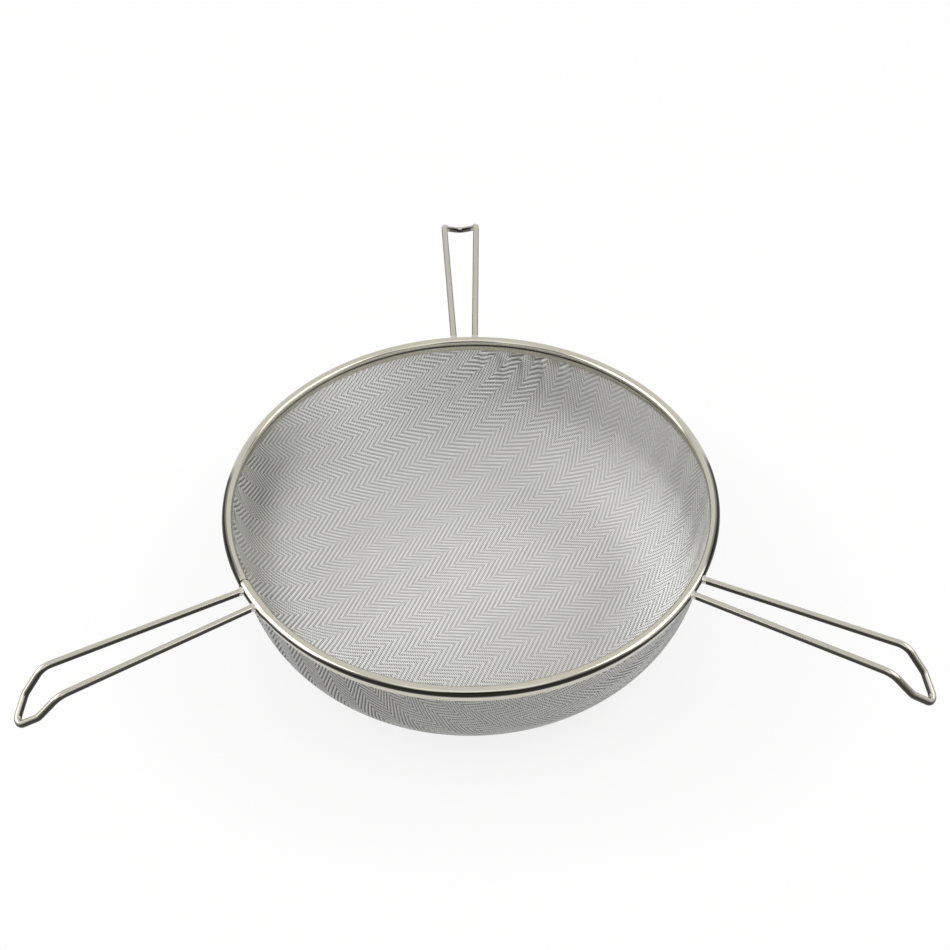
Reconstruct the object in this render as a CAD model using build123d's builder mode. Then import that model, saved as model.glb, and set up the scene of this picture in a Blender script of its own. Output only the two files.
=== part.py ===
from build123d import *
import os
from math import cos, degrees, radians, sin, tan

# Three-handled round honey strainer: a deep basket of woven wire cloth, a rolled rim that grips its
# edge, and three bent wire handles welded to the rim, hooked at their ends to sit on a bucket.
# Millimetres and degrees. +Z is up, +Y points to the back handle, and the origin is the centre of
# the basket's flat underside.

# Rim: a strip rolled round a wire hoop into a bead, with two skirts that grip the cloth
rim_diameter = 240.0  # over the bead
bead_diameter = 5.0
strip_thickness = 0.4
skirt_drop = 5.8  # from the bead's centre to the skirts' lower edges
neck_radius = 0.8  # where the bead turns into the skirts
hoop_clearance = 0.2  # radial, between the hoop and the strip round it
seam_angle = 206.4  # where the strip's outer end shows, anticlockwise from +X
lap_length = 20.0  # the outer end of the strip lies over the inner end for this far
lap_taper = 4.0  # and comes down to the plain bead over this

# Basket, measured on the outside of the cloth
basket_depth = 68.0  # from the bead's centre down to the underside
corner_radius = 46.0  # between the flat bottom and the wall
wall_lean = 10.4  # the wall's slope away from upright
shoulder_radius = 12.0  # where the wall turns upright into the rim
cloth_thickness = 0.6

# Openings through the basket, a coarse grid that stands in for the cloth's mesh: rings of them from
# a whole middle outwards, parted by ribs both ways, with more of them round in the outer rings
hub_radius = 16.0
opening_length = 17.5  # down the basket
rib_width = 5.0
inner_rings, inner_ribs = 2, 12
outer_rings, outer_ribs = 4, 24

# Handles: each is one wire, bent in the middle and welded to the bead by both ends
handle_wire = 3.4
leg_length = 95.2  # from the weld to the hook's bend
leg_slope = 4.8  # above level
root_spacing = 11.3  # between the legs' centres at the rim
hook_spacing = 18.6  # and at the hook's bend
hook_length = 26.4  # from the bend to where the two sides would meet
hook_slope = 40.5  # below level
belly_share = 0.52  # where the hook's sides are kinked, as a share of its length
belly_spacing = 15.0  # between the sides' centres there
hook_bend_radius = 9.0
belly_bend_radius = 6.5
tip_bend_radius = 3.3
weld_depth = 1.5  # the legs start this far inside the bead's face and are coped to it
weld_diameter = 4.8  # the collar that each weld pushes up
weld_length = 2.7  # how far the collar runs out along the leg

# Node, angle of the weld round the rim, and how far the handle is bent sideways and twisted about
# its own length
handle_angles = (
    ("handle_back", 90.0, 0.0, 0.0),
    ("handle_left", 210.8, 1.2, 0.0),
    ("handle_right", 328.5, -1.8, -4.1),
)

# Worked out from the sizes above
bead_radius = bead_diameter / 2
rim_radius = rim_diameter / 2 - bead_radius  # of the circle through the bead's centre
hoop_radius = bead_radius - strip_thickness - hoop_clearance
lap_arc = degrees(lap_length / rim_radius)
taper_arc = degrees(lap_taper / rim_radius)
taper_angle = seam_angle + lap_arc
plain_angle = taper_angle + taper_arc


def rim_plane(angle):
    # an upright plane across the rim: x outward, y up, its origin at the bead's centre
    outward = Vector(cos(radians(angle)), sin(radians(angle)), 0)
    bead_centre = outward * rim_radius + Vector(0, 0, basket_depth)
    return Plane(origin=bead_centre, x_dir=outward, z_dir=outward.cross(Vector(0, 0, 1)))


def strip_outline(angle, over):
    # the rolled strip cut across, without its bore: a bead above the skirts, thicker by over
    skirts_width = cloth_thickness + 2 * (strip_thickness + over)
    with BuildSketch(rim_plane(angle)) as outline:
        Circle(bead_radius + over)
        Rectangle(skirts_width, skirt_drop, align=(Align.CENTER, Align.MAX))
        fillet(outline.vertices().group_by(Axis.Y)[1], neck_radius)
    return outline.sketch


# The rolled strip: plain bead, then the lapped end over it, with a taper between the two, and
# right round inside them the bore for the hoop and the slot for the cloth
with BuildPart() as rim_band:
    plain_outline = strip_outline(plain_angle, 0)
    revolve(plain_outline, axis=Axis.Z, revolution_arc=360 - lap_arc - taper_arc)
    revolve(strip_outline(seam_angle, strip_thickness), axis=Axis.Z, revolution_arc=lap_arc)
    loft([strip_outline(taper_angle, strip_thickness), plain_outline])
    with BuildSketch(rim_plane(0)):
        Circle(bead_radius - strip_thickness)
        Rectangle(cloth_thickness, skirt_drop, align=(Align.CENTER, Align.MAX))
    revolve(axis=Axis.Z, mode=Mode.SUBTRACT)

# The hoop of wire that the strip is rolled round
with BuildPart() as rim_hoop:
    with BuildSketch(rim_plane(0)):
        Circle(hoop_radius)
    revolve(axis=Axis.Z)

# The basket: flat bottom, wide soft corner, leaning wall, and an upright edge between the skirts
edge_radius = rim_radius + cloth_thickness / 2
edge_top = basket_depth - hoop_radius - hoop_clearance
shoulder_height = basket_depth - skirt_drop - shoulder_radius * tan(radians(wall_lean / 2))
foot_radius = edge_radius - shoulder_height * tan(radians(wall_lean))

with BuildLine() as basket_outline:
    FilletPolyline(
        (0, 0),
        (foot_radius, 0),
        (edge_radius, shoulder_height),
        (edge_radius, edge_top),
        radius=(corner_radius, shoulder_radius),
    )
basket_line = basket_outline.wire()


def opening_cutters(first_ring, rings, ribs):
    # rings that follow the basket's outline, thicker than its sheet and cut through by the ribs
    with BuildPart() as cutters:
        with BuildSketch(Plane.XZ):
            with BuildLine():
                for ring in range(first_ring, first_ring + rings):
                    start = hub_radius + ring * (opening_length + rib_width)
                    end = start + opening_length
                    add(basket_line.trim(start / basket_line.length, end / basket_line.length))
            trace(line_width=4 * cloth_thickness)
        revolve(axis=Axis.Z)
        with PolarLocations(0, ribs // 2, angular_range=180):
            Box(rim_diameter, rib_width, 3 * basket_depth, mode=Mode.SUBTRACT)
    return cutters.part


with BuildPart() as mesh_basket:
    with BuildSketch(Plane.XZ):
        with BuildLine():
            add(basket_line)
            offset(amount=cloth_thickness, side=Side.LEFT)
        make_face()
    revolve(axis=Axis.Z)
    add(opening_cutters(0, inner_rings, inner_ribs), mode=Mode.SUBTRACT)
    add(opening_cutters(inner_rings, outer_rings, outer_ribs), mode=Mode.SUBTRACT)

# One handle's wire along its centre, from weld to weld: x outward, y across, z up
bend_x = leg_length * cos(radians(leg_slope))
bend_z = leg_length * sin(radians(leg_slope))
tip_x = bend_x + hook_length * cos(radians(hook_slope))
tip_z = bend_z - hook_length * sin(radians(hook_slope))
belly_x = bend_x + (tip_x - bend_x) * belly_share
belly_z = bend_z + (tip_z - bend_z) * belly_share
wire_corners = (
    (0, root_spacing / 2, 0),
    (bend_x, hook_spacing / 2, bend_z),
    (belly_x, belly_spacing / 2, belly_z),
    (tip_x, 0, tip_z),
    (belly_x, -belly_spacing / 2, belly_z),
    (bend_x, -hook_spacing / 2, bend_z),
    (0, -root_spacing / 2, 0),
)
bend_radii = (
    hook_bend_radius,
    belly_bend_radius,
    tip_bend_radius,
    belly_bend_radius,
    hook_bend_radius,
)
root_radius = rim_radius + bead_radius - weld_depth

os.makedirs("parts", exist_ok=True)

for node_name, weld_angle, side_bend, twist in handle_angles:
    weld_way = Vector(cos(radians(weld_angle)), sin(radians(weld_angle)), 0)
    root = weld_way * root_radius + Vector(0, 0, basket_depth)
    leg_way = weld_way.rotate(Axis.Z, side_bend)
    handle_up = Vector(0, 0, 1).rotate(Axis((0, 0, 0), leg_way), twist)
    on_the_lap = seam_angle < weld_angle < taper_angle
    seat_radius = bead_radius + (strip_thickness if on_the_lap else 0)

    with BuildPart() as handle:
        with BuildLine(Plane(origin=root, x_dir=leg_way, z_dir=handle_up)) as wire_path:
            FilletPolyline(*wire_corners, radius=bend_radii)
        wire = wire_path.wire()
        with BuildSketch(Plane(origin=wire @ 0, z_dir=wire % 0)):
            Circle(handle_wire / 2)
        sweep(path=wire)
        for leg_end, along_leg in ((wire @ 0, wire % 0), (wire @ 1, -(wire % 1))):
            with Locations(Plane(origin=leg_end, z_dir=along_leg)):
                Cone(
                    bottom_radius=weld_diameter / 2,
                    top_radius=handle_wire / 2,
                    height=weld_depth + weld_length,
                    align=(Align.CENTER, Align.CENTER, Align.MIN),
                )
        with Locations((0, 0, basket_depth)):
            Torus(rim_radius, seat_radius, mode=Mode.SUBTRACT)

    handle.part.label = node_name
    export_step(handle.part, f"parts/{node_name}.step")

rim_band.part.label = "rim_band"
export_step(rim_band.part, "parts/rim_band.step")

rim_hoop.part.label = "rim_hoop"
export_step(rim_hoop.part, "parts/rim_hoop.step")

mesh_basket.part.label = "mesh_basket"
export_step(mesh_basket.part, "parts/mesh_basket.step")
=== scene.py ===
import math
import bpy
import numpy as np
from mathutils import Matrix, Vector


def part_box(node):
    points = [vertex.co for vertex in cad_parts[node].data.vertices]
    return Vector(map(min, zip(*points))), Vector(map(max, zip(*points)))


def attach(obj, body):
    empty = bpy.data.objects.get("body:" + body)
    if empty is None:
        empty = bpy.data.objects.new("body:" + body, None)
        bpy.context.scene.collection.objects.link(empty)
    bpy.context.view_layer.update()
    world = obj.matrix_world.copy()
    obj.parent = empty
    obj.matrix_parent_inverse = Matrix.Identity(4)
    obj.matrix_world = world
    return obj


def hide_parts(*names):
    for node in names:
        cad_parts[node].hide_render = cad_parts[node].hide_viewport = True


# Three-handled honey strainer of stainless steel: a woven basket, a rolled rim and bent wire handles.
# Sizes in the dictionaries are millimetres and degrees, and mm turns them to metres.
mm = 0.001

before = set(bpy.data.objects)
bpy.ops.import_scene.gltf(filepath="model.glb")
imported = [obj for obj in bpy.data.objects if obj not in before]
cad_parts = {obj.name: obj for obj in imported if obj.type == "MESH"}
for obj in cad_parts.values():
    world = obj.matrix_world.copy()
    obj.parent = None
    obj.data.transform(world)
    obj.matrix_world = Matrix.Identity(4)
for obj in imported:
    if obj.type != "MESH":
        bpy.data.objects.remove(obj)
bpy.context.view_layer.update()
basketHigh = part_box("mesh_basket")[1] / mm
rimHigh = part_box("rim_band")[1] / mm


def linear(hexColour):
    channels = [int(hexColour[i : i + 2], 16) / 255 for i in (1, 3, 5)]
    return [c / 12.92 if c <= 0.04045 else ((c + 0.055) / 1.055) ** 2.4 for c in channels] + [1.0]


def addNode(tree, kind, inputs=None, **settings):
    node = tree.nodes.new(kind)
    for name, value in settings.items():
        setattr(node, name, value)
    for name, value in (inputs or {}).items():
        if isinstance(value, bpy.types.NodeSocket):
            tree.links.new(value, node.inputs[name])
        else:
            node.inputs[name].default_value = value
    return node


def newTree(name):
    material = bpy.data.materials.new(name)
    material.use_nodes = True
    material.node_tree.nodes.clear()
    return material, material.node_tree


def meshPiece(name, points, faces, uv, material, sharpAngle=None):
    # points in millimetres, faces in rows of four corners, uv in rows of four pairs
    mesh = bpy.data.meshes.new(name)
    mesh.vertices.add(len(points))
    mesh.vertices.foreach_set("co", (points * mm).astype(np.float32).ravel())
    mesh.loops.add(faces.size)
    mesh.loops.foreach_set("vertex_index", faces.astype(np.int32).ravel())
    mesh.polygons.add(len(faces))
    mesh.polygons.foreach_set("loop_start", np.arange(0, faces.size, 4, dtype=np.int32))
    mesh.update(calc_edges=True)
    mesh.shade_smooth()
    if sharpAngle:
        mesh.set_sharp_from_angle(angle=math.radians(sharpAngle))
    layer = mesh.uv_layers.new(name="OFBake")
    layer.uv.foreach_set("vector", uv.astype(np.float32).ravel())
    mesh.materials.append(material)
    piece = bpy.data.objects.new(name, mesh)
    bpy.context.scene.collection.objects.link(piece)
    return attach(piece, "root")


def gridFaces(rows, columns, closeRows=False):
    # quads over a grid of points numbered row by row, whose columns close into a ring
    row = np.arange(rows if closeRows else rows - 1)[:, None]
    column = np.arange(columns)[None, :]
    rowNext, columnNext = (row + 1) % rows, (column + 1) % columns
    faces = np.stack(
        [
            row * columns + column,
            row * columns + columnNext,
            rowNext * columns + columnNext,
            rowNext * columns + column,
        ],
        -1,
    )
    u, v = (row + 0 * column) / len(row), (column + 0 * row) / columns
    uNext, vNext = u + 1 / len(row), v + 1 / columns
    uv = np.stack([u, v, u, vNext, uNext, vNext, uNext, v], -1)
    return faces.reshape(-1, 4), uv.reshape(-1, 8)


rim = {
    "beadRadius": 2.5,
    "stripThickness": 0.4,
    "skirtDrop": 5.8,
    "slotHalf": 0.3,
    "neckRadius": 0.8,
    "edgeRadius": 0.15,  # of the skirts' lower edges
    "edgeChamfer": 0.06,  # of the same edges on the side of the cloth
    "lapAngle": 206.4,
    "lapLength": 20.0,
    "lapTaper": 4.0,
    "seamGap": 0.34,  # depth of the slit in front of the lap's end
    "seamWidth": 0.55,  # degrees round the rim, as the next three are
    "seamStep": 0.02,  # in which the strip steps down into the slit and up out of it
    "seamClear": 0.1,  # kept free of other sections in front of the slit
    "lapStart": 0.5,  # from the lap's end to its next section
    "endBreak": 0.06,  # by which the lap's end is worn down at its corner
    "segments": 540,
    "lapSegments": 20,
    "curvePoints": {"edge": 4, "neck": 7, "bead": 22, "bore": 14},
}
beadCircle = rimHigh.x - rim["beadRadius"]
beadHeight = basketHigh.z + rim["beadRadius"] - rim["stripThickness"]


# Materials, each with its colours and scales beside it

clothSteel = {
    # the warp's colours are a painted highlight and the weft's a painted shade, which draw the twill's light
    # and dark lines
    "warp": ("#fffffd", "#fbfbf8"),
    "weft": ("#a6a5a0", "#9a9994"),
    "roughness": 0.36,
    "roughnessSpread": 0.08,
    "patch": 22.0,  # across the places that the press rubbed more or less
    "outerPaintedShade": 0.53,  # of the brightness on the outer side of the cloth, a painted shade
    "outerBlend": 0.3,  # cosine over which a face turns from the inner side to the outer
}


def wovenStainlessWire(way):
    # 304 stainless wire, drawn bright and then woven: small mirrors, softened by the die's scratches;
    # the weft is annealed so that it beds down between the warp, and is coloured darker than the warp: a
    # painted shade on the weft and a painted highlight on the warp, which draw the twill's lines
    material, tree = newTree(f"{way}StainlessWire")
    coordinates = addNode(tree, "ShaderNodeTexCoord").outputs
    place = coordinates["Object"]
    patch = addNode(
        tree, "ShaderNodeTexNoise", {"Vector": place, "Scale": 1 / (clothSteel["patch"] * mm), "Detail": 2.0}
    ).outputs["Fac"]
    # painted highlight on the warp and painted shade on the weft
    bright, dull = clothSteel[way]
    colour = addNode(
        tree, "ShaderNodeMix", {0: patch, 6: linear(bright), 7: linear(dull)}, data_type="RGBA"
    )
    # the bowl's mouth is inward of every wire, so a face turned away from there is on the outer side
    fromMouth = addNode(
        tree, "ShaderNodeVectorMath", {0: place, 1: (0.0, 0.0, beadHeight * mm)}, operation="SUBTRACT"
    )
    fromMouth = addNode(tree, "ShaderNodeVectorMath", {0: fromMouth.outputs["Vector"]}, operation="NORMALIZE")
    facing = addNode(
        tree,
        "ShaderNodeVectorMath",
        {0: fromMouth.outputs["Vector"], 1: coordinates["Normal"]},
        operation="DOT_PRODUCT",
    )
    outer = addNode(
        tree,
        "ShaderNodeMapRange",
        {"Value": facing.outputs["Value"], "From Max": clothSteel["outerBlend"]},
    )
    # painted shade: faces on the outer side of the cloth are darkened
    outerShadeColour = addNode(
        tree,
        "ShaderNodeMix",
        {0: outer.outputs["Result"], 6: (1.0, 1.0, 1.0, 1.0), 7: [clothSteel["outerPaintedShade"]] * 3 + [1.0]},
        data_type="RGBA",
    )
    colour = addNode(
        tree,
        "ShaderNodeMix",
        {0: 1.0, 6: colour.outputs[2], 7: outerShadeColour.outputs[2]},
        data_type="RGBA",
        blend_type="MULTIPLY",
    )
    roughness = addNode(
        tree,
        "ShaderNodeMapRange",
        {
            "Value": patch,
            "To Min": clothSteel["roughness"],
            "To Max": clothSteel["roughness"] + clothSteel["roughnessSpread"],
        },
    )
    steel = addNode(
        tree,
        "ShaderNodeBsdfPrincipled",
        {"Base Color": colour.outputs[2], "Metallic": 1.0, "Roughness": roughness.outputs["Result"]},
    )
    addNode(tree, "ShaderNodeOutputMaterial", {"Surface": steel.outputs["BSDF"]})
    return material


stripSteel = {
    "bright": "#cfccbf",
    "dull": "#bcb8aa",
    "paintedDarkReflection": "#2a2824",  # painted dark reflection, low on the bead's outer side
    # how far out to the sides, as a share of the radius, and how far up the bead the painted dark reflection
    # reaches there
    "darkReflectionReach": ((0.0, 1.45), (0.5, 1.3), (0.75, 1.0), (0.9, 1.9), (0.96, 2.25)),
    "fadeOut": 0.5,  # height over which the painted dark reflection fades out
    "darkReflectionEndsFrom": (0.12, 0.2),  # share of the radius towards the back from where none of it has the painted dark reflection
    "groove": (0.3, -0.5),  # heights between which the painted dark reflection in the neck sets in
    "skirtFrom": -2.9,  # height from which down the skirts are, bright like the bead's upper side, without the painted dark reflection
    "roughness": 0.10,
    "roughnessSpread": 0.07,
    "rollingLine": 0.35,  # between the lines that the rolls leave along the strip, coarse enough to show
    "linesRound": 40.0,  # how often a line gives way to others on its way round the rim
    "lineDepth": 0.004,
    "lineRelief": 0.35,
}


def wherePaintedDark(tree):
    # the share of the painted dark reflection, by the place on the rim
    place = addNode(tree, "ShaderNodeTexCoord").outputs["Object"]
    height = addNode(tree, "ShaderNodeSeparateXYZ", {"Vector": place}).outputs["Z"]
    acrossRim = addNode(
        tree, "ShaderNodeVectorMath", {0: place, "Scale": 1 / (beadCircle * mm)}, operation="SCALE"
    )
    acrossRim = addNode(tree, "ShaderNodeSeparateXYZ", {"Vector": acrossRim.outputs["Vector"]}).outputs
    # painted dark reflection low on the outer side of the bead, as far up as the curve says, but not towards
    # the back
    aside = addNode(tree, "ShaderNodeMath", {0: acrossRim["X"]}, operation="ABSOLUTE")
    reached = addNode(tree, "ShaderNodeFloatCurve", {"Value": aside.outputs["Value"]})
    curve = reached.mapping.curves[0].points
    first, *others = stripSteel["darkReflectionReach"]
    curve[0].location, curve[1].location = first, (1.0, others[-1][1])
    for point in others:
        curve.new(*point)
    reached.mapping.use_clip = False
    reached.mapping.update()
    aboveMiddle = addNode(tree, "ShaderNodeMath", {0: height, 1: beadHeight * mm}, operation="SUBTRACT")
    aboveMiddle = addNode(
        tree, "ShaderNodeMath", {0: aboveMiddle.outputs["Value"], 1: 1 / mm}, operation="MULTIPLY"
    )
    below = addNode(
        tree,
        "ShaderNodeMath",
        {0: reached.outputs["Value"], 1: aboveMiddle.outputs["Value"]},
        operation="SUBTRACT",
    )
    under = addNode(
        tree,
        "ShaderNodeMapRange",
        {"Value": below.outputs["Value"], "From Min": -stripSteel["fadeOut"], "From Max": 0.0},
    )
    backward = dict(zip(("From Max", "From Min"), stripSteel["darkReflectionEndsFrom"]))
    frontward = addNode(tree, "ShaderNodeMapRange", {"Value": acrossRim["Y"], **backward})
    fromAxis = addNode(tree, "ShaderNodeCombineXYZ", {"X": acrossRim["X"], "Y": acrossRim["Y"]})
    fromAxis = addNode(tree, "ShaderNodeVectorMath", {0: fromAxis.outputs["Vector"]}, operation="LENGTH")
    outside = addNode(
        tree, "ShaderNodeMath", {0: fromAxis.outputs["Value"], 1: 1.0}, operation="GREATER_THAN"
    )
    skirt = (beadHeight + stripSteel["skirtFrom"]) * mm
    aboveSkirt = addNode(tree, "ShaderNodeMath", {0: height, 1: skirt}, operation="GREATER_THAN")
    share = under.outputs["Result"]
    for limit in (frontward.outputs["Result"], outside.outputs["Value"], aboveSkirt.outputs["Value"]):
        share = addNode(tree, "ShaderNodeMath", {0: share, 1: limit}, operation="MULTIPLY").outputs["Value"]
    # and a painted dark reflection in the groove between bead and skirt, on both sides and right round
    groove = dict(zip(("From Min", "From Max"), stripSteel["groove"]))
    neckDarkReflection = addNode(tree, "ShaderNodeMapRange", {"Value": aboveMiddle.outputs["Value"], **groove})
    neckDarkReflection = addNode(
        tree,
        "ShaderNodeMath",
        {0: neckDarkReflection.outputs["Result"], 1: aboveSkirt.outputs["Value"]},
        operation="MULTIPLY",
    )
    both = addNode(tree, "ShaderNodeMath", {0: share, 1: neckDarkReflection.outputs["Value"]}, operation="MAXIMUM")
    return both.outputs["Value"]


def rolledStainlessStrip():
    # 2B stainless strip, rolled round the hoop and buffed: mirror-like, with faint lines along it, and a
    # painted dark reflection low on the bead's outer side and in the neck
    material, tree = newTree("rolledStainlessStrip")
    bakeMap = addNode(tree, "ShaderNodeUVMap", uv_map="OFBake").outputs["UV"]
    sectionLength = 2 * math.pi * rim["beadRadius"] + 2 * rim["skirtDrop"]
    linesAcross = sectionLength / stripSteel["rollingLine"]
    stretched = addNode(
        tree,
        "ShaderNodeMapping",
        {"Vector": bakeMap, "Scale": (stripSteel["linesRound"], linesAcross, 1.0)},
    )
    lines = addNode(
        tree, "ShaderNodeTexNoise", {"Vector": stretched.outputs["Vector"], "Scale": 1.0, "Detail": 3.0}
    ).outputs["Fac"]
    colour = addNode(
        tree,
        "ShaderNodeMix",
        {0: lines, 6: linear(stripSteel["bright"]), 7: linear(stripSteel["dull"])},
        data_type="RGBA",
    ).outputs[2]
    # painted dark reflection: the dark colour low on the bead's outer side and in the neck
    share = wherePaintedDark(tree)
    colour = addNode(
        tree,
        "ShaderNodeMix",
        {0: share, 6: colour, 7: linear(stripSteel["paintedDarkReflection"])},
        data_type="RGBA",
    )
    roughness = addNode(
        tree,
        "ShaderNodeMapRange",
        {
            "Value": lines,
            "To Min": stripSteel["roughness"],
            "To Max": stripSteel["roughness"] + stripSteel["roughnessSpread"],
        },
    )
    relief = addNode(
        tree,
        "ShaderNodeBump",
        {
            "Height": lines,
            "Strength": stripSteel["lineRelief"],
            "Distance": stripSteel["lineDepth"] * mm,
        },
    )
    steel = addNode(
        tree,
        "ShaderNodeBsdfPrincipled",
        {
            "Base Color": colour.outputs[2],
            "Metallic": 1.0,
            "Roughness": roughness.outputs["Result"],
            "Normal": relief.outputs["Normal"],
        },
    )
    addNode(tree, "ShaderNodeOutputMaterial", {"Surface": steel.outputs["BSDF"]})
    return material


wireSteel = {
    "bright": "#cbc8bc",
    "dull": "#b6b3a6",
    "underside": 0.09,  # of the brightness on the wire's underside, a painted shade
    "undersideFrom": (0.80, 0.48),  # upward share of the surface's direction, between which it sets in
    "roughness": 0.17,
    "roughnessSpread": 0.08,
    "dieLine": 0.5,  # between the lines that the die leaves along the wire, drawn coarse enough to show
    "linesAlong": 12.0,  # how often a line gives way to others along the wire
    "lineDepth": 0.006,
    "lineRelief": 0.4,
    "wireRound": 10.7,  # round the wire
}


def drawnStainlessWire():
    # hard-drawn 304 spring wire, 3.4 mm, degreased but not polished: satin, with lines along it, and a
    # painted shade on its underside
    material, tree = newTree("drawnStainlessWire")
    bakeMap = addNode(tree, "ShaderNodeUVMap", uv_map="OFBake").outputs["UV"]
    linesAcross = wireSteel["wireRound"] / wireSteel["dieLine"]
    stretched = addNode(
        tree,
        "ShaderNodeMapping",
        {"Vector": bakeMap, "Scale": (wireSteel["linesAlong"], linesAcross, 1.0)},
    )
    lines = addNode(
        tree, "ShaderNodeTexNoise", {"Vector": stretched.outputs["Vector"], "Scale": 1.0, "Detail": 3.0}
    ).outputs["Fac"]
    colour = addNode(
        tree,
        "ShaderNodeMix",
        {0: lines, 6: linear(wireSteel["bright"]), 7: linear(wireSteel["dull"])},
        data_type="RGBA",
    ).outputs[2]
    # painted shade: the colour darkens where the surface faces down
    facing = addNode(tree, "ShaderNodeTexCoord").outputs["Normal"]
    up = addNode(tree, "ShaderNodeSeparateXYZ", {"Vector": facing}).outputs["Z"]
    untouched, fullShade = wireSteel["undersideFrom"]
    shadeRamp = addNode(tree, "ShaderNodeMapRange", {"Value": up, "From Min": untouched, "From Max": fullShade})
    grey = addNode(
        tree,
        "ShaderNodeMapRange",
        {"Value": shadeRamp.outputs["Result"], "To Min": 1.0, "To Max": wireSteel["underside"]},
    )
    colour = addNode(
        tree,
        "ShaderNodeVectorMath",
        {0: colour, "Scale": grey.outputs["Result"]},
        operation="SCALE",
    )
    roughness = addNode(
        tree,
        "ShaderNodeMapRange",
        {
            "Value": lines,
            "To Min": wireSteel["roughness"],
            "To Max": wireSteel["roughness"] + wireSteel["roughnessSpread"],
        },
    )
    relief = addNode(
        tree,
        "ShaderNodeBump",
        {
            "Height": lines,
            "Strength": wireSteel["lineRelief"],
            "Distance": wireSteel["lineDepth"] * mm,
        },
    )
    steel = addNode(
        tree,
        "ShaderNodeBsdfPrincipled",
        {
            "Base Color": colour.outputs["Vector"],
            "Metallic": 1.0,
            "Roughness": roughness.outputs["Result"],
            "Normal": relief.outputs["Normal"],
        },
    )
    addNode(tree, "ShaderNodeOutputMaterial", {"Surface": steel.outputs["BSDF"]})
    return material


weldSteel = {
    "untouched": "#cfccc4",
    "straw": "#a3957c",
    "roughness": 0.34,
    "tintFrom": (0.52, 0.72),  # grain between which the tint sets in
    "grain": 0.9,  # across the ripples that the pool froze in
    "grainDepth": 0.05,
    "grainRelief": 0.6,
}


def tackWeldedStainless():
    # stainless weld metal, brushed but not ground: dull, rippled, with a little straw heat tint
    material, tree = newTree("tackWeldedStainless")
    place = addNode(tree, "ShaderNodeTexCoord").outputs["Object"]
    grain = addNode(
        tree, "ShaderNodeTexNoise", {"Vector": place, "Scale": 1 / (weldSteel["grain"] * mm), "Detail": 3.0}
    ).outputs["Fac"]
    untouched, tinted = weldSteel["tintFrom"]
    tint = addNode(tree, "ShaderNodeMapRange", {"Value": grain, "From Min": untouched, "From Max": tinted})
    colour = addNode(
        tree,
        "ShaderNodeMix",
        {0: tint.outputs["Result"], 6: linear(weldSteel["untouched"]), 7: linear(weldSteel["straw"])},
        data_type="RGBA",
    )
    relief = addNode(
        tree,
        "ShaderNodeBump",
        {
            "Height": grain,
            "Strength": weldSteel["grainRelief"],
            "Distance": weldSteel["grainDepth"] * mm,
        },
    )
    steel = addNode(
        tree,
        "ShaderNodeBsdfPrincipled",
        {
            "Base Color": colour.outputs[2],
            "Metallic": 1.0,
            "Roughness": weldSteel["roughness"],
            "Normal": relief.outputs["Normal"],
        },
    )
    addNode(tree, "ShaderNodeOutputMaterial", {"Surface": steel.outputs["BSDF"]})
    return material


hoopSteel = {"grey": "#b9b7af", "roughness": 0.32}


def plainHoopWire():
    # straightened 304 wire inside the strip, which shows only where the strip is cut: evenly grey
    material, tree = newTree("plainHoopWire")
    steel = addNode(
        tree,
        "ShaderNodeBsdfPrincipled",
        {"Base Color": linear(hoopSteel["grey"]), "Metallic": 1.0, "Roughness": hoopSteel["roughness"]},
    )
    addNode(tree, "ShaderNodeOutputMaterial", {"Surface": steel.outputs["BSDF"]})
    return material


clothWires = {way: wovenStainlessWire(way) for way in ("warp", "weft")}
polishedStrip = rolledStainlessStrip()
satinWire = drawnStainlessWire()
weldMetal = tackWeldedStainless()
hoopWire = plainHoopWire()
print("materials made")

# Basket: every wire of the cloth, laid as the flat cloth lies once it is pressed into a bowl.
# The bowl's own sizes are taken at the middle of the cloth's thickness.

basket = {
    "bottomRadius": 68.26,  # of the flat bottom
    "cornerRadius": 45.7,
    "wallLean": 10.4,
    "shoulderHeight": 61.1,
    "halfThickness": 0.3,
    "edgeTuck": 0.3,  # the cut ends stop this far short of the bead's bore
}
weave = {
    "warpPitch": 0.65,
    "weftPitch": 0.91,
    "wireRadius": 0.26,  # nearly twice the real wire's, 0.14: drawn as coarse as the twill needs to show
    "warpCrimp": 0.22,  # how far a warp wire's centre swings to each side of the cloth's middle
    "weftCrimp": 0.09,  # the weft is beaten in straighter
    "lift": 0.19,  # of the cloth's middle above the solid's, so that the warp clears the table
    "bandWires": 14,  # warp wires in each stripe of the herringbone
    "bandShift": 1,  # warp wires from the middle of the cloth to where a steep stripe begins
    "warpTurn": 30.4,  # the warp's direction, anticlockwise from +X
    "piecesEachWay": 6,
    "netStep": 2.0,  # between the crossings that the net is solved at
    "netCount": 88,  # of them each way in a quarter of the cloth
}
gathers = (
    # middle and half width of each zone round the rim, the folds' spacing in degrees, depth and reach down
    {"angle": 74.0, "halfWidth": 15.0, "spacing": 5.6, "depth": 1.9, "reach": 28.0},
    {"angle": 188.0, "halfWidth": 17.0, "spacing": 3.4, "depth": 1.5, "reach": 17.0},
)
gatherShape = {
    "start": 3.7,  # from the cloth's edge down to the skirts' edge
    "riseOver": 4.0,  # below the start, to the folds' full depth
    "dieOut": 1.5,  # the power of their dying out downwards
    "pinch": 0.3,  # share of a second wave, which makes the crests narrower than the hollows
}

# the corner turns the cloth up into the wall, whose foot and shoulder are ways along the cloth
wallLean = math.radians(basket["wallLean"])
wallTurn = math.pi / 2 - wallLean
wallFoot = basket["bottomRadius"] + basket["cornerRadius"] * wallTurn
footHeight = basket["halfThickness"] + basket["cornerRadius"] * (1 - math.cos(wallTurn))
shoulder = wallFoot + (basket["shoulderHeight"] - footHeight) / math.cos(wallLean)


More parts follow.
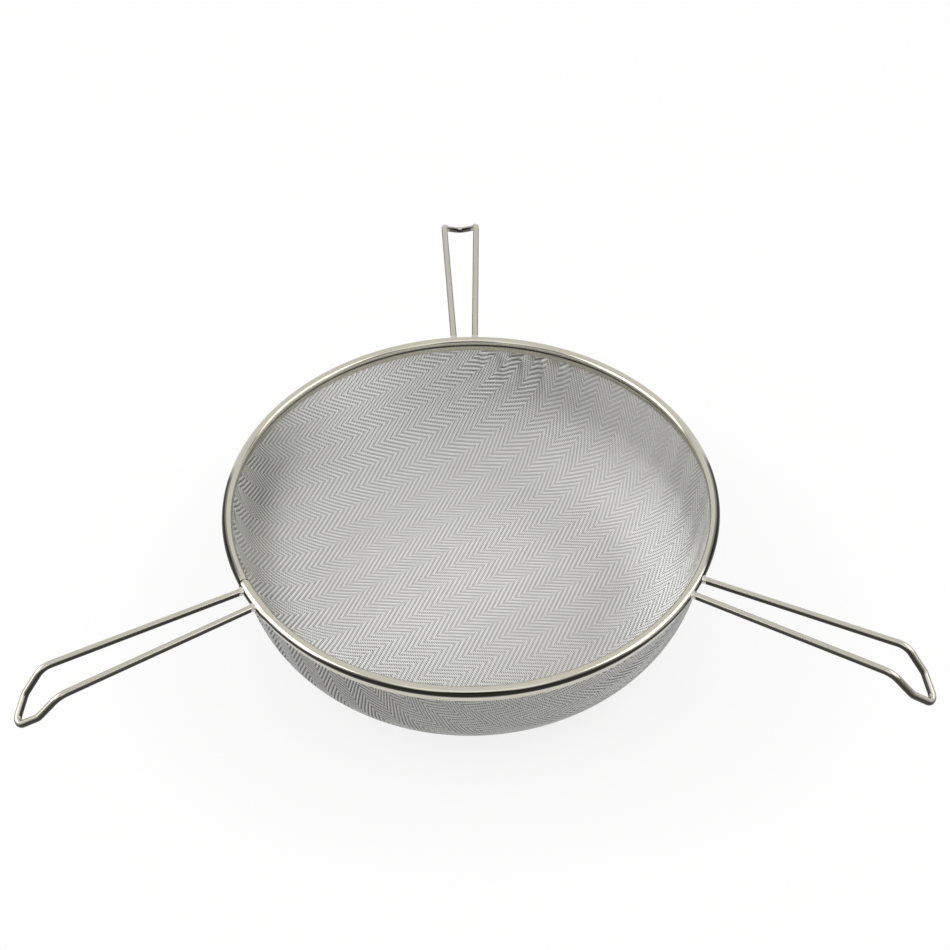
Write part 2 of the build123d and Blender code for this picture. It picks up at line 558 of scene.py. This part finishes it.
def basketProfile(alongCloth):
    # radius, height and slope at a way along the cloth from the middle of the bottom
    bend = basket["cornerRadius"]
    slope = np.clip((alongCloth - basket["bottomRadius"]) / bend, 0, wallTurn)
    onBottom = np.minimum(alongCloth, basket["bottomRadius"])
    onWall = np.clip(alongCloth - wallFoot, 0, shoulder - wallFoot)
    radius = onBottom + bend * np.sin(slope) + onWall * math.sin(wallLean)
    upright = np.maximum(alongCloth - shoulder, 0)
    height = basket["halfThickness"] + bend * (1 - np.cos(slope)) + onWall * math.cos(wallLean) + upright
    slope = np.where(alongCloth > shoulder, math.pi / 2, slope)
    return radius, height, slope


def onBasket(flat, lift=0.0):
    # flat holds the way along the cloth and the angle round it, as two flat coordinates
    around = np.arctan2(flat[..., 1], flat[..., 0])
    radius, height, slope = basketProfile(np.hypot(flat[..., 0], flat[..., 1]))
    inward = np.stack([-np.sin(slope) * np.cos(around), -np.sin(slope) * np.sin(around), np.cos(slope)], -1)
    place = np.stack([radius * np.cos(around), radius * np.sin(around), height], -1)
    return place + inward * np.asarray(lift)[..., None], inward


def hangNet():
    # the wires can turn at their crossings but not stretch, so each cell's sides keep their length:
    # every new crossing is one step from its two neighbours, on the basket's surface
    step, count = weave["netStep"], weave["netCount"]
    net = np.zeros((count, count, 2))
    net[:, 0, 0] = np.arange(count) * step
    net[0, :, 1] = np.arange(count) * step
    nudge = 1e-4
    for diagonal in range(2, 2 * count - 1):
        i = np.arange(max(1, diagonal - count + 1), min(count - 1, diagonal - 1) + 1)
        j = diagonal - i
        left, below = onBasket(net[i - 1, j])[0], onBasket(net[i, j - 1])[0]
        guess = net[i - 1, j] + net[i, j - 1] - net[i - 1, j - 1]
        for _ in range(12):  # Newton's steps towards both lengths at once
            here = onBasket(guess)[0]
            missLeft = ((here - left) ** 2).sum(-1) - step**2
            missBelow = ((here - below) ** 2).sum(-1) - step**2
            alongA = (onBasket(guess + (nudge, 0))[0] - here) / nudge
            alongB = (onBasket(guess + (0, nudge))[0] - here) / nudge
            leftA, leftB = 2 * ((here - left) * alongA).sum(-1), 2 * ((here - left) * alongB).sum(-1)
            belowA, belowB = 2 * ((here - below) * alongA).sum(-1), 2 * ((here - below) * alongB).sum(-1)
            both = leftA * belowB - leftB * belowA
            moveA = missLeft * belowB - missBelow * leftB
            moveB = leftA * missBelow - belowA * missLeft
            move = np.stack([moveA, moveB], -1) / both[:, None]
            guess = guess - np.clip(move, -step, step)
        net[i, j] = guess
    return net


def readNet(net, warpWay, weftWay):
    # the net is solved for one quarter, and the other three mirror it
    across, up = np.abs(warpWay) / weave["netStep"], np.abs(weftWay) / weave["netStep"]
    i, j = np.minimum(across.astype(int), len(net) - 2), np.minimum(up.astype(int), len(net) - 2)
    acrossCell, upCell = (across - i)[..., None], (up - j)[..., None]
    low = net[i, j] * (1 - acrossCell) + net[i + 1, j] * acrossCell
    high = net[i, j + 1] * (1 - acrossCell) + net[i + 1, j + 1] * acrossCell
    flat = low * (1 - upCell) + high * upCell
    flat = flat * np.stack([np.sign(warpWay), np.sign(weftWay)], -1)
    turn = math.radians(weave["warpTurn"])
    x = flat[..., 0] * math.cos(turn) - flat[..., 1] * math.sin(turn)
    y = flat[..., 0] * math.sin(turn) + flat[..., 1] * math.cos(turn)
    return np.stack([x, y], -1)


def gatherLift(flat, rimWay):
    # small folds where the cloth has more length than the rim takes, dying out down the wall
    alongCloth = np.hypot(flat[..., 0], flat[..., 1])
    around = np.degrees(np.arctan2(flat[..., 1], flat[..., 0])) % 360
    below = rimWay - gatherShape["start"] - alongCloth
    rise = np.clip(below / gatherShape["riseOver"], 0, 1)
    pinch = gatherShape["pinch"]
    lift = np.zeros(alongCloth.shape)
    for zone in gathers:
        off = (around - zone["angle"] + 180) % 360 - 180
        nearness = np.exp(-((off / zone["halfWidth"]) ** 2))
        fade = rise * np.clip(1 - below / zone["reach"], 0, 1) ** gatherShape["dieOut"]
        wave = 2 * math.pi * off / zone["spacing"]
        lift += zone["depth"] * nearness * fade * (np.cos(wave) + pinch * np.cos(2 * wave) - pinch)
    return lift


def wireTubes(centres, inward, keep, radius):
    # one four-sided tube for each row of crossings, kept where keep is true
    along = np.gradient(centres, axis=1)
    along /= np.linalg.norm(along, axis=-1, keepdims=True)
    up = inward - (inward * along).sum(-1, keepdims=True) * along
    up /= np.linalg.norm(up, axis=-1, keepdims=True)
    side = np.cross(along, up)
    ring = np.stack([up, side, -up, -side], 2) * radius + centres[:, :, None]
    number = np.full(keep.shape, -1)
    number[keep] = np.arange(keep.sum())
    spans = keep[:, :-1] & keep[:, 1:]
    here, there = number[:, :-1][spans][:, None] * 4, number[:, 1:][spans][:, None] * 4
    corner, cornerNext = np.arange(4)[None], (np.arange(4)[None] + 1) % 4
    tubes = [here + corner, here + cornerNext, there + cornerNext, there + corner]
    tubes = np.stack(tubes, -1).reshape(-1, 4)
    row, column = np.nonzero(spans)
    u0, u1 = column / keep.shape[1], (column + 1) / keep.shape[1]
    v0 = (row[:, None] + np.arange(4) / 4) / keep.shape[0]
    v1 = v0 + 1 / 4 / keep.shape[0]
    u0, u1 = u0[:, None] + 0 * v0, u1[:, None] + 0 * v0
    uv = np.stack([u0, v0, u0, v1, u1, v1, u1, v0], -1).reshape(-1, 8)
    before = np.pad(keep, ((0, 0), (1, 0)))[:, :-1]
    after = np.pad(keep, ((0, 0), (0, 1)))[:, 1:]
    starts, ends = number[keep & ~before][:, None] * 4, number[keep & ~after][:, None] * 4
    caps = np.concatenate([starts + np.array([3, 2, 1, 0]), ends + np.arange(4)])
    cap = 0.001  # the cut ends share a corner of the map, this wide
    capUv = np.tile([0.0, 0.0, cap, 0.0, cap, cap, 0.0, cap], (len(caps), 1))
    return ring[keep].reshape(-1, 3), np.concatenate([tubes, caps]), np.concatenate([uv, capUv])


def weaveBasket(materials):
    # the way along the cloth to its edge, in the top of the rim's slot
    rimWay = shoulder + basketHigh.z - basket["edgeTuck"] - basket["shoulderHeight"]
    net = hangNet()
    warpCount = int(rimWay / weave["warpPitch"])
    weftCount = int(rimWay / weave["weftPitch"])
    warp = np.arange(-warpCount, warpCount + 1)[:, None]
    weft = np.arange(-weftCount, weftCount + 1)[None, :]
    flat = readNet(net, weft * weave["weftPitch"] + 0.0 * warp, warp * weave["warpPitch"] + 0.0 * weft)
    keep = np.hypot(flat[..., 0], flat[..., 1]) < rimWay
    # 2/2 twill whose diagonal turns back every band: a wire goes over two and under two
    inBands = (warp - weave["bandShift"]) % (2 * weave["bandWires"])
    diagonal = np.abs(inBands - weave["bandWires"])
    warpOver = np.where((weft + diagonal) % 4 < 2, 1.0, -1.0)
    folds = gatherLift(flat, rimWay)
    made = []
    for way, over in (("warp", warpOver), ("weft", -warpOver)):
        centres, inward = onBasket(flat, folds + weave["lift"] + over * weave[way + "Crimp"])
        kept = keep
        if way == "weft":
            centres, inward, kept = centres.swapaxes(0, 1), inward.swapaxes(0, 1), keep.T
        total = np.cumsum(kept.sum(1))
        edges = np.searchsorted(total, np.linspace(0, total[-1], weave["piecesEachWay"] + 1)[1:-1])
        for number, rows in enumerate(np.split(np.arange(len(kept)), edges), 1):
            columns = np.nonzero(kept[rows].any(0))[0]
            part = np.ix_(rows, np.arange(columns[0], columns[-1] + 1))
            points, faces, uv = wireTubes(centres[part], inward[part], kept[part], weave["wireRadius"])
            piece = meshPiece(f"cloth_{way}_{number}", points, faces, uv, materials[way])
            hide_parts("mesh_basket")
            made.append(len(faces))
    return made


print("cloth woven, faces in each piece", weaveBasket(clothWires))

# Rim: the strip rolled into a bead with two skirts, lapped near the left handle

def arc(centre, radius, start, end, count):
    angles = np.radians(np.linspace(start, end, count))
    return np.stack([centre[0] + radius * np.cos(angles), centre[1] + radius * np.sin(angles)], -1)


def rimSection(over):
    # the strip cut across, counter-clockwise: x outward and y up from the bead's centre
    bead = rim["beadRadius"] + over
    skirt = rim["slotHalf"] + rim["stripThickness"] + max(over, 0.0)
    neck = rim["neckRadius"]
    neckX = skirt + neck
    neckY = -math.sqrt((bead + neck) ** 2 - neckX**2)
    neckTurn = math.degrees(math.atan2(neckY, neckX))
    bore = rim["beadRadius"] - rim["stripThickness"]
    boreTurn = math.degrees(math.acos(rim["slotHalf"] / bore))
    slot, low, edge, chamfer = rim["slotHalf"], -rim["skirtDrop"], rim["edgeRadius"], rim["edgeChamfer"]
    points = rim["curvePoints"]
    outer = [
        arc((skirt - edge, low + edge), edge, -90, 0, points["edge"]),
        arc((neckX, neckY), neck, 180, 180 + neckTurn, points["neck"]),
        arc((0, 0), bead, neckTurn, 90, points["bead"])[1:],
    ]
    inner = [
        arc((0, 0), bore, 90, -boreTurn, points["bore"]),
        np.array([[slot, low + chamfer], [slot + chamfer, low]]),
    ]
    outer, inner = np.concatenate(outer), np.concatenate(inner)
    mirror = np.array([-1.0, 1.0])
    return np.concatenate([outer, (outer[:-1] * mirror)[::-1], (inner * mirror)[::-1], inner[1:]])


def rollRim(material):
    toDegrees = 180 / math.pi / beadCircle
    seam, lapEnd = rim["lapAngle"], rim["lapAngle"] + rim["lapLength"] * toDegrees
    taperEnd = lapEnd + rim["lapTaper"] * toDegrees
    slit = seam + 360 - rim["seamWidth"]
    thickness, step, slitFloor = rim["stripThickness"], rim["seamStep"], -rim["seamGap"]
    # angle and thickness over the plain bead: the way round, then the slit, the lap's end, lap and taper
    plain = np.linspace(taperEnd, seam + 360, rim["segments"])[:-1]
    turns = [(angle, 0.0) for angle in plain if angle < slit - rim["seamClear"]]
    turns += [(slit, 0.0), (slit + step, slitFloor), (seam + 360 - step, slitFloor)]
    turns += [(seam + 360, thickness - rim["endBreak"]), (seam + 360 + 2 * step, thickness)]
    lap = np.linspace(seam + rim["lapStart"], lapEnd, rim["lapSegments"])
    turns += [(angle + 360, thickness) for angle in lap]
    taper = taperEnd - lapEnd
    turns += [(lapEnd + 360 + taper * third, thickness * (1 - third)) for third in (0.33, 0.67)]
    rings = []
    for angle, over in turns:
        section = rimSection(over)
        way = math.radians(angle)
        radius, height = beadCircle + section[:, 0], beadHeight + section[:, 1]
        rings.append(np.stack([radius * math.cos(way), radius * math.sin(way), height], -1))
    faces, uv = gridFaces(len(rings), len(rings[0]), closeRows=True)
    piece = meshPiece("rim_strip", np.concatenate(rings), faces, uv, material, sharpAngle=45)
    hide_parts("rim_band")
    return piece


rollRim(polishedStrip)
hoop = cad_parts["rim_hoop"]
hoop.data.materials.clear()
hoop.data.materials.append(hoopWire)
print("rim rolled")

# Handles: one wire each, bent in the middle and tack-welded to the bead by both ends

handle = {
    "wireRadius": 1.7,
    "legLength": 95.2,
    "legSlope": 4.8,
    "rootSpacing": 11.3,
    "hookSpacing": 18.6,
    "hookLength": 26.4,
    "hookSlope": 40.5,
    "bellyShare": 0.52,
    "bellySpacing": 15.0,
    "bends": (9.0, 6.5, 3.3, 6.5, 9.0),
    "weldDepth": 1.5,
    "sides": 28,
    "runSpacing": 3.0,  # between the rings of straight runs
    "bendSpacing": 0.5,  # and of bends
    "weldReach": 2.2,  # of the weld metal along the wire
    "weldSpread": (0.5, 1.1),  # beyond the wire, up and down the bead and along it
    "weldSunk": (0.08, 0.03),  # into the bead and into the wire
    "weldRings": (36, 9),  # points round the wire and rings from wire to bead
    "beadSpan": (-1.0, 6.0),  # along the wire from its root, where the bead's face is looked for
    # waves round the foot of the weld and along its reach: share, number and shift from weld to weld
    "footWaves": ((0.16, 3, 1.7), (0.08, 7, 1.0)),
    "reachWave": (0.12, 2, 2.3),
}
# angle of the weld round the rim, and how far the handle is bent sideways and twisted about its length
handlePlaces = (
    ("back", 90.0, 0.0, 0.0),
    ("left", 210.8, 1.2, 0.0),
    ("right", 328.5, -1.8, -4.1),
)


def bendWire(corners, radii):
    # straight runs joined by arcs
    points = [corners[0]]
    for before, corner, after, radius in zip(corners, corners[1:], corners[2:], radii):
        into, out = (corner - before).normalized(), (after - corner).normalized()
        turn = into.angle(out)
        setback = radius * math.tan(turn / 2)
        start, end = corner - into * setback, corner + out * setback
        centre = corner + (out - into).normalized() * (radius / math.cos(turn / 2))
        points += runPoints(points[-1], start)
        steps = max(4, int(turn * radius / handle["bendSpacing"]))
        axis = into.cross(out).normalized()
        for step in range(1, steps + 1):
            points.append(centre + Matrix.Rotation(turn * step / steps, 3, axis) @ (start - centre))
    return points + runPoints(points[-1], corners[-1])


def runPoints(start, end):
    count = max(1, round((end - start).length / handle["runSpacing"]))
    return [start.lerp(end, step / count) for step in range(1, count + 1)]


def tube(path, radius, sides):
    # rings along the path, turned as little as the path allows
    path = np.array([list(point) for point in path])
    along = np.gradient(path, axis=0)
    along /= np.linalg.norm(along, axis=1, keepdims=True)
    up = np.array([0.0, 0.0, 1.0])
    angles = np.linspace(0, 2 * math.pi, sides, endpoint=False)
    rings = []
    for place, way in zip(path, along):
        up = up - (up @ way) * way
        up /= np.linalg.norm(up)
        side = np.cross(way, up)
        rings.append(place + radius * (np.cos(angles)[:, None] * up + np.sin(angles)[:, None] * side))
    faces, uv = gridFaces(len(rings), sides)
    return np.concatenate(rings), faces, uv


def handlePath(weldAngle, sideBend, twist):
    flat, steep = math.radians(handle["legSlope"]), math.radians(handle["hookSlope"])
    bendX, bendZ = handle["legLength"] * math.cos(flat), handle["legLength"] * math.sin(flat)
    tipX = bendX + handle["hookLength"] * math.cos(steep)
    tipZ = bendZ - handle["hookLength"] * math.sin(steep)
    bellyX = bendX + (tipX - bendX) * handle["bellyShare"]
    bellyZ = bendZ + (tipZ - bendZ) * handle["bellyShare"]
    side = [
        Vector((0, handle["rootSpacing"] / 2, 0)),
        Vector((bendX, handle["hookSpacing"] / 2, bendZ)),
        Vector((bellyX, handle["bellySpacing"] / 2, bellyZ)),
    ]
    corners = side + [Vector((tipX, 0, tipZ))] + [Vector((p.x, -p.y, p.z)) for p in reversed(side)]
    way = math.radians(weldAngle)
    rootRadius = beadCircle + rim["beadRadius"] - handle["weldDepth"]
    root = Vector((rootRadius * math.cos(way), rootRadius * math.sin(way), beadHeight))
    place = (
        Matrix.Translation(root)
        @ Matrix.Rotation(way + math.radians(sideBend), 4, "Z")
        @ Matrix.Rotation(math.radians(twist), 4, "X")
    )
    return [place @ point for point in bendWire(corners, handle["bends"])]


def weldFillet(root, along, over, number):
    # hollow-faced weld metal between the wire and the bead: rings from the wire down to the bead's face
    sides, rows = handle["weldRings"]
    up = (Vector((0, 0, 1)) - along * along.z).normalized()
    side = along.cross(up)
    root, along, up, side = (np.array(v) for v in (root, along, up, side))
    around = np.linspace(0, 2 * math.pi, sides, endpoint=False)
    outward = np.cos(around)[:, None] * up + np.sin(around)[:, None] * side
    least, most = handle["weldSpread"]
    lumps = np.ones(sides)
    for share, waves, shift in handle["footWaves"]:
        lumps += share * np.sin(waves * around + shift * number)
    spread = (least + (most - least) * np.sin(around) ** 2) * lumps
    share, waves, shift = handle["reachWave"]
    reach = handle["weldReach"] * (1 + share * np.sin(waves * around + shift * number))

    def faceOfBead(radius):
        # how far out along the wire each line meets the bead, by halving the span that it lies in
        inside, outside = np.full(sides, handle["beadSpan"][0]), np.full(sides, handle["beadSpan"][1])
        for _ in range(30):
            middle = (inside + outside) / 2
            place = root + radius[:, None] * outward + middle[:, None] * along
            ring = np.hypot(place[:, 0], place[:, 1]) - beadCircle
            clear = np.hypot(ring, place[:, 2] - beadHeight) > rim["beadRadius"] + over
            inside, outside = np.where(clear, inside, middle), np.where(clear, middle, outside)
        return outside

    wire = np.full(sides, handle["wireRadius"])
    intoBead, intoWire = handle["weldSunk"]
    foot, top = faceOfBead(wire + spread) - intoBead, faceOfBead(wire) + reach
    rings = []
    for turn in np.linspace(0, math.pi / 2, rows):
        radius = wire - intoWire + spread * (1 - math.cos(turn))
        rise = foot + (top - foot) * (1 - math.sin(turn))
        rings.append(root + radius[:, None] * outward + rise[:, None] * along)
    faces, uv = gridFaces(rows, sides)
    return np.concatenate(rings), faces, uv


for name, weldAngle, sideBend, twist in handlePlaces:
    path = handlePath(weldAngle, sideBend, twist)
    over = rim["stripThickness"] if name == "left" else 0.0  # that handle sits on the lap
    for number, (root, further) in enumerate(((path[0], path[1]), (path[-1], path[-2])), 1):
        points, faces, uv = weldFillet(root, (further - root).normalized(), over, number + weldAngle)
        piece = meshPiece(f"handle_{name}_weld_{number}", points, faces, uv, weldMetal)
    points, faces, uv = tube(path, handle["wireRadius"], handle["sides"])
    piece = meshPiece(f"handle_{name}_wire", points, faces, uv, satinWire)
    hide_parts(f"handle_{name}")
print("handles bent and welded")

# Floor, light and camera

studio = {
    "sheetWhite": "#f0f0ef",
    "sheetGlow": 0.8,  # share of the sheet's white that is its own
    "sheetHalf": 20.0,  # metres from its middle to its edges
    "lowWalls": (9.0, 16.0),  # elevations between which white lower walls turn into darker ones
    "walls": 0.32,
    "ceiling": 0.96,
    "cove": (40.0, 52.0),  # elevations between which the walls turn into the ceiling
    "panelsAim": (0.0, 0.0, 0.05),  # the middle of the basket, in metres
}
# cards hung round the room, white behind and black where polished metal is to show a dark line:
# azimuth and elevation of each one's middle, how far from there it reaches and has gone, and its level
cards = (
    (90.0, 22.0, 48.0, 62.0, 0.95),
    (-90.0, 50.0, 18.0, 32.0, 1.3),
    (-90.0, 33.0, 10.0, 16.0, 0.05),
    (180.0, 36.0, 15.0, 26.0, 0.03),
    (0.0, 36.0, 15.0, 26.0, 0.03),
)


def paperSheet():
    # a wide sheet of matt white paper
    material, tree = newTree("whitePaper")
    white = linear(studio["sheetWhite"])
    matt = addNode(tree, "ShaderNodeBsdfDiffuse", {"Color": white})
    # white by itself as well, as the picture, metal and glass see it, with the strainer's shadow kept
    glow = addNode(tree, "ShaderNodeEmission", {"Color": (1.0, 1.0, 1.0, 1.0), "Strength": 1.0})
    seen = addNode(tree, "ShaderNodeLightPath").outputs
    direct = addNode(
        tree, "ShaderNodeMath", {0: seen["Is Camera Ray"], 1: seen["Is Glossy Ray"]}, operation="MAXIMUM"
    )
    direct = addNode(
        tree,
        "ShaderNodeMath",
        {0: direct.outputs["Value"], 1: seen["Is Transmission Ray"]},
        operation="MAXIMUM",
    )
    share = addNode(
        tree, "ShaderNodeMath", {0: direct.outputs["Value"], 1: studio["sheetGlow"]}, operation="MULTIPLY"
    )
    paper = addNode(
        tree,
        "ShaderNodeMixShader",
        {0: share.outputs["Value"], 1: matt.outputs["BSDF"], 2: glow.outputs["Emission"]},
    )
    addNode(tree, "ShaderNodeOutputMaterial", {"Surface": paper.outputs["Shader"]})
    return material


def paleRoom():
    # white low down, grey walls above, a brighter ceiling, and the cards in front of them
    world = bpy.data.worlds.new("studio")
    bpy.context.scene.world = world
    world.use_nodes = True
    tree = world.node_tree
    tree.nodes.clear()
    way = addNode(tree, "ShaderNodeTexCoord").outputs["Generated"]
    up = addNode(tree, "ShaderNodeSeparateXYZ", {"Vector": way}).outputs["Z"]
    wallTop, ceilingEdge = (math.sin(math.radians(elevation)) for elevation in studio["cove"])
    levels = {"To Min": studio["walls"], "To Max": studio["ceiling"]}
    level = addNode(
        tree,
        "ShaderNodeMapRange",
        {"Value": up, "From Min": wallTop, "From Max": ceilingEdge, **levels},
        interpolation_type="SMOOTHSTEP",
    ).outputs["Result"]
    for azimuth, elevation, near, far, cardLevel in cards:
        around, high = math.radians(azimuth), math.radians(elevation)
        middle = math.cos(around) * math.cos(high), math.sin(around) * math.cos(high), math.sin(high)
        towards = addNode(tree, "ShaderNodeVectorMath", {0: way, 1: middle}, operation="DOT_PRODUCT")
        share = addNode(
            tree,
            "ShaderNodeMapRange",
            {
                "Value": towards.outputs["Value"],
                "From Min": math.cos(math.radians(far)),
                "From Max": math.cos(math.radians(near)),
            },
            interpolation_type="SMOOTHSTEP",
        ).outputs["Result"]
        mixed = addNode(tree, "ShaderNodeMix", {0: share, 2: level, 3: cardLevel}, data_type="FLOAT")
        level = mixed.outputs[0]
    lower, upper = (math.sin(math.radians(elevation)) for elevation in studio["lowWalls"])
    white = addNode(
        tree,
        "ShaderNodeMapRange",
        {"Value": up, "From Min": upper, "From Max": lower},
        interpolation_type="SMOOTHSTEP",
    ).outputs["Result"]
    level = addNode(tree, "ShaderNodeMix", {0: white, 2: level, 3: 1.0}, data_type="FLOAT").outputs[0]
    sky = addNode(tree, "ShaderNodeBackground", {"Color": (1, 1, 1, 1), "Strength": level})
    addNode(tree, "ShaderNodeOutputWorld", {"Surface": sky.outputs["Background"]})


# soft panels round the table: middle, width and height in metres, and how bright the panel itself is
softPanels = {
    "leftSoftbox": {"middle": (-1.35, -0.07, 0.93), "size": (1.5, 1.2), "level": 2.4},
    "rightSoftbox": {"middle": (1.20, -0.07, 1.08), "size": (1.35, 1.05), "level": 2.1},
}


def softPanel(name, middle, size, level):
    lamp = bpy.data.lights.new(name, "AREA")
    lamp.shape, lamp.size, lamp.size_y = "RECTANGLE", *size
    lamp.energy = level * math.pi * size[0] * size[1]
    panel = bpy.data.objects.new(name, lamp)
    panel.location = middle
    facing = Vector(studio["panelsAim"]) - Vector(middle)
    panel.rotation_euler = facing.to_track_quat("-Z", "Y").to_euler()
    panel.visible_camera = False
    bpy.context.scene.collection.objects.link(panel)


def layFloor():
    half = studio["sheetHalf"]
    corners = [(-half, -half, 0), (half, -half, 0), (half, half, 0), (-half, half, 0)]
    mesh = bpy.data.meshes.new("floor")
    mesh.from_pydata(corners, [], [(0, 1, 2, 3)])
    mesh.materials.append(paperSheet())
    floor = bpy.data.objects.new("floor", mesh)
    bpy.context.scene.collection.objects.link(floor)


camera = {
    "place": (-6.8, -500.3, 577.6),
    "aim": (2.3, 0.0, 82.4),
    "roll": -0.99,
    "lens": 55.8,
}


def setCamera():
    eye, aim = Vector(camera["place"]) * mm, Vector(camera["aim"]) * mm
    roll = math.radians(camera["roll"])
    ahead = (aim - eye).normalized()
    level = ahead.cross(Vector((0, 0, 1))).normalized()
    upright = level.cross(ahead)
    right = level * math.cos(roll) + upright * math.sin(roll)
    over = upright * math.cos(roll) - level * math.sin(roll)
    lens = bpy.data.cameras.new("camera")
    lens.lens = camera["lens"]
    view = bpy.data.objects.new("camera", lens)
    view.matrix_world = Matrix.Translation(eye) @ Matrix((right, over, -ahead)).transposed().to_4x4()
    bpy.context.scene.collection.objects.link(view)
    bpy.context.scene.camera = view


layFloor()
paleRoom()
for name, panel in softPanels.items():
    softPanel(name, **panel)
setCamera()
bpy.context.scene.view_settings.view_transform = "Standard"
print("floor, light and camera set")
